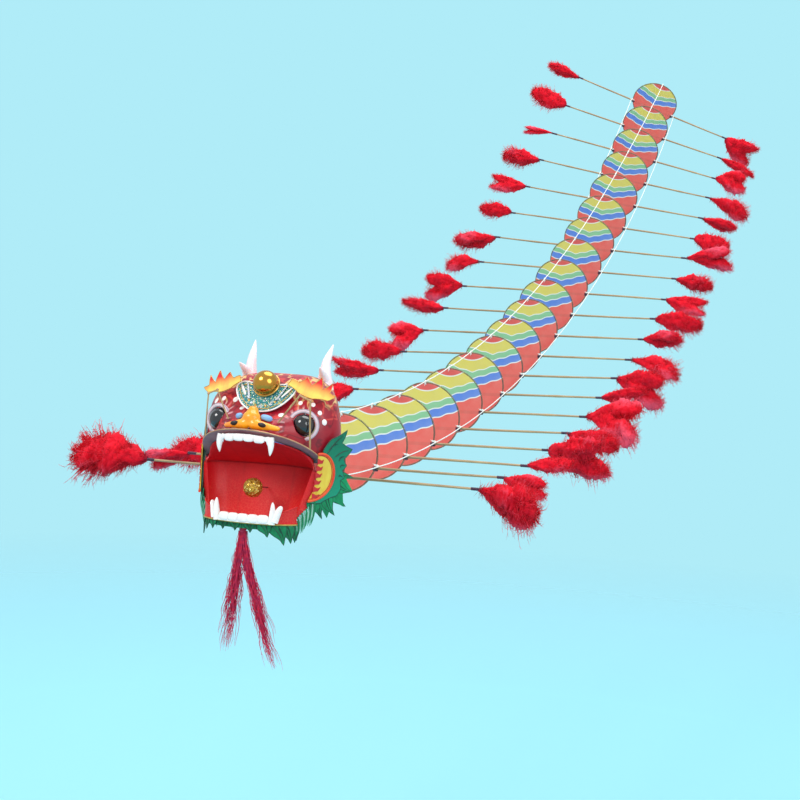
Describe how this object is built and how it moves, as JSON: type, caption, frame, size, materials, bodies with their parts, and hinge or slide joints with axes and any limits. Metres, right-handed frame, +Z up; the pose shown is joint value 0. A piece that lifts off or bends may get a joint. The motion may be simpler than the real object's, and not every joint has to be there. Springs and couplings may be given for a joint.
{
  "type": "dragon kite",
  "caption": "Dragon-headed centipede kite: a hollow card head with rolling eyes and an open mouth, and a long train of round silk discs with feathered bamboo legs on three lines.",
  "frame": {"origin": "middle of the neck disc's hoop, where the flying line's bridle is tied", "axes": "-Y out of the dragon's face, +Y back along the body to the tail, +X to the right as seen from the front, +Z up; left and right in names are as seen from the front"},
  "size_m": [0.6195, 2.1353, 0.9921],
  "materials": {
    "silk_disc": "thin printed silk glued to a bamboo hoop, bands of colour, slightly see-through",
    "line": "white twisted cotton line",
    "skull": "moulded paper with dark red gloss paint and white spots",
    "lip_card": "card with a gilt edge",
    "mouth_card": "red gloss card with fine orange patterns",
    "teeth": "glossy white",
    "forehead_plate": "blue-green glitter with a white rim",
    "gold_ball": "polished gold plating",
    "glitter_ball": "gold glitter",
    "nose": "orange-yellow gloss paint",
    "brow": "yellow painted card fading to red at the flame tips",
    "horn": "pale pinkish translucent plastic",
    "ear_card": "green painted card with an orange-red rim",
    "ear_panel": "ochre painted card with red flames",
    "mane_card": "dark green painted card with a lighter edge",
    "eye": "black gloss",
    "eye_ring": "white with a grey inner edge",
    "pin": "plain wire",
    "wire": "plain wire",
    "bamboo": "split bamboo, clear varnish",
    "thread": "loose red and magenta thread"
  },
  "bodies": {
    "head": {"waist_disc_01": "silk_disc", "top_line": "line", "left_line": "line", "right_line": "line", "skull_shell": "skull", "lip_board": "lip_card", "mouth_liner": "mouth_card", "jaw_tray": "mouth_card", "upper_teeth": "teeth", "lower_teeth": "teeth", "forehead_plate": "forehead_plate", "forehead_pearl": "gold_ball", "nose": "nose", "left_brow": "brow", "right_brow": "brow", "left_horn": "horn", "right_horn": "horn", "left_ear": "ear_card", "right_ear": "ear_card", "left_ear_panel": "ear_panel", "right_ear_panel": "ear_panel", "left_mane": "mane_card", "right_mane": "mane_card", "chin_fringe": "mane_card", "left_eye_pin": "pin", "right_eye_pin": "pin", "left_eye_ring": "eye_ring", "right_eye_ring": "eye_ring", "left_neck_spar": "bamboo", "right_neck_spar": "bamboo", "left_face_sticks": "bamboo", "right_face_sticks": "bamboo", "mouth_pearl_wire": "wire", "beard_staple": "thread", "head_rim": "bamboo"},
    "left_eye": {"left_eye": "eye"},
    "right_eye": {"right_eye": "eye"},
    "mouth_pearl": {"mouth_pearl": "glitter_ball"},
    "beard": {"beard_tassel": "thread"},
    "disc_02": {"waist_disc_02": "silk_disc"},
    "disc_03": {"waist_disc_03": "silk_disc"},
    "disc_04": {"waist_disc_04": "silk_disc"},
    "disc_05": {"waist_disc_05": "silk_disc"},
    "disc_06": {"waist_disc_06": "silk_disc"},
    "disc_07": {"waist_disc_07": "silk_disc"},
    "disc_08": {"waist_disc_08": "silk_disc"},
    "disc_09": {"waist_disc_09": "silk_disc"},
    "disc_10": {"waist_disc_10": "silk_disc"},
    "disc_11": {"waist_disc_11": "silk_disc"},
    "disc_12": {"waist_disc_12": "silk_disc"},
    "disc_13": {"waist_disc_13": "silk_disc"},
    "disc_14": {"waist_disc_14": "silk_disc"},
    "disc_15": {"waist_disc_15": "silk_disc"},
    "disc_16": {"waist_disc_16": "silk_disc"},
    "disc_17": {"waist_disc_17": "silk_disc"},
    "disc_18": {"waist_disc_18": "silk_disc"},
    "disc_19": {"waist_disc_19": "silk_disc"},
    "disc_20": {"waist_disc_20": "silk_disc"}
  },
  "joints": [
    {"name": "gap_01_sway", "type": "hinge", "parent": "head", "child": "disc_02", "pos_m": [0, 0.05299, 0.00113], "axis": [0, 0, 1], "range_deg": [-8, 8], "deforming": ["top_line", "left_line", "right_line"]},
    {"name": "gap_02_lift", "type": "hinge", "parent": "disc_02", "child": "disc_03", "pos_m": [0, 0.15887, 0.00563], "axis": [1, 0, 0], "range_deg": [0, 8]},
    {"name": "gap_03_sway", "type": "hinge", "parent": "disc_03", "child": "disc_04", "pos_m": [0, 0.26447, 0.01452], "axis": [0, 0, 1], "range_deg": [-8, 8]},
    {"name": "gap_04_lift", "type": "hinge", "parent": "disc_04", "child": "disc_05", "pos_m": [0, 0.36963, 0.02771], "axis": [1, 0, 0], "range_deg": [0, 8]},
    {"name": "gap_05_sway", "type": "hinge", "parent": "disc_05", "child": "disc_06", "pos_m": [0, 0.47417, 0.04508], "axis": [0, 0, 1], "range_deg": [-8, 8]},
    {"name": "gap_06_lift", "type": "hinge", "parent": "disc_06", "child": "disc_07", "pos_m": [0, 0.57797, 0.06649], "axis": [1, 0, 0], "range_deg": [0, 8]},
    {"name": "gap_07_sway", "type": "hinge", "parent": "disc_07", "child": "disc_08", "pos_m": [0, 0.68088, 0.09183], "axis": [0, 0, 1], "range_deg": [-8, 8]},
    {"name": "gap_08_lift", "type": "hinge", "parent": "disc_08", "child": "disc_09", "pos_m": [0, 0.78277, 0.12098], "axis": [1, 0, 0], "range_deg": [0, 8]},
    {"name": "gap_09_sway", "type": "hinge", "parent": "disc_09", "child": "disc_10", "pos_m": [0, 0.88355, 0.15378], "axis": [0, 0, 1], "range_deg": [-8, 8]},
    {"name": "gap_10_lift", "type": "hinge", "parent": "disc_10", "child": "disc_11", "pos_m": [0, 0.98311, 0.19012], "axis": [1, 0, 0], "range_deg": [0, 8]},
    {"name": "gap_11_sway", "type": "hinge", "parent": "disc_11", "child": "disc_12", "pos_m": [0, 1.08136, 0.22986], "axis": [0, 0, 1], "range_deg": [-8, 8]},
    {"name": "gap_12_lift", "type": "hinge", "parent": "disc_12", "child": "disc_13", "pos_m": [0, 1.17823, 0.27286], "axis": [1, 0, 0], "range_deg": [0, 8]},
    {"name": "gap_13_sway", "type": "hinge", "parent": "disc_13", "child": "disc_14", "pos_m": [0, 1.27365, 0.319], "axis": [0, 0, 1], "range_deg": [-8, 8]},
    {"name": "gap_14_lift", "type": "hinge", "parent": "disc_14", "child": "disc_15", "pos_m": [0, 1.36757, 0.36812], "axis": [1, 0, 0], "range_deg": [0, 8]},
    {"name": "gap_15_sway", "type": "hinge", "parent": "disc_15", "child": "disc_16", "pos_m": [0, 1.45993, 0.42011], "axis": [0, 0, 1], "range_deg": [-8, 8]},
    {"name": "gap_16_lift", "type": "hinge", "parent": "disc_16", "child": "disc_17", "pos_m": [0, 1.5507, 0.47483], "axis": [1, 0, 0], "range_deg": [0, 8]},
    {"name": "gap_17_sway", "type": "hinge", "parent": "disc_17", "child": "disc_18", "pos_m": [0, 1.63985, 0.53215], "axis": [0, 0, 1], "range_deg": [-8, 8]},
    {"name": "gap_18_lift", "type": "hinge", "parent": "disc_18", "child": "disc_19", "pos_m": [0, 1.72737, 0.59194], "axis": [1, 0, 0], "range_deg": [0, 8]},
    {"name": "gap_19_sway", "type": "hinge", "parent": "disc_19", "child": "disc_20", "pos_m": [0, 1.81323, 0.65408], "axis": [0, 0, 1], "range_deg": [-8, 8]},
    {"name": "left_eye_spin", "type": "hinge", "parent": "head", "child": "left_eye", "pos_m": [-0.051, -0.13, 0.051], "axis": [0, 0, 1], "continuous": true},
    {"name": "right_eye_spin", "type": "hinge", "parent": "head", "child": "right_eye", "pos_m": [0.051, -0.13, 0.051], "axis": [0, 0, 1], "continuous": true},
    {"name": "mouth_pearl_spin", "type": "hinge", "parent": "head", "child": "mouth_pearl", "pos_m": [0, -0.144, -0.021], "axis": [0, 1, 0], "continuous": true},
    {"name": "beard_swing", "type": "hinge", "parent": "head", "child": "beard", "pos_m": [-0.004, -0.156, -0.062], "axis": [1, 0, 0], "range_deg": [-15, 30]}
  ],
  "couplings": [
    {"joint": "gap_03_sway", "follows": "gap_01_sway", "ratio": 1},
    {"joint": "gap_05_sway", "follows": "gap_01_sway", "ratio": 1},
    {"joint": "gap_09_sway", "follows": "gap_07_sway", "ratio": 1},
    {"joint": "gap_11_sway", "follows": "gap_07_sway", "ratio": 1},
    {"joint": "gap_13_sway", "follows": "gap_07_sway", "ratio": 1},
    {"joint": "gap_17_sway", "follows": "gap_15_sway", "ratio": 1},
    {"joint": "gap_19_sway", "follows": "gap_15_sway", "ratio": 1},
    {"joint": "gap_04_lift", "follows": "gap_02_lift", "ratio": 1},
    {"joint": "gap_06_lift", "follows": "gap_02_lift", "ratio": 1},
    {"joint": "gap_10_lift", "follows": "gap_08_lift", "ratio": 1},
    {"joint": "gap_12_lift", "follows": "gap_08_lift", "ratio": 1},
    {"joint": "gap_16_lift", "follows": "gap_14_lift", "ratio": 1},
    {"joint": "gap_18_lift", "follows": "gap_14_lift", "ratio": 1}
  ]
}
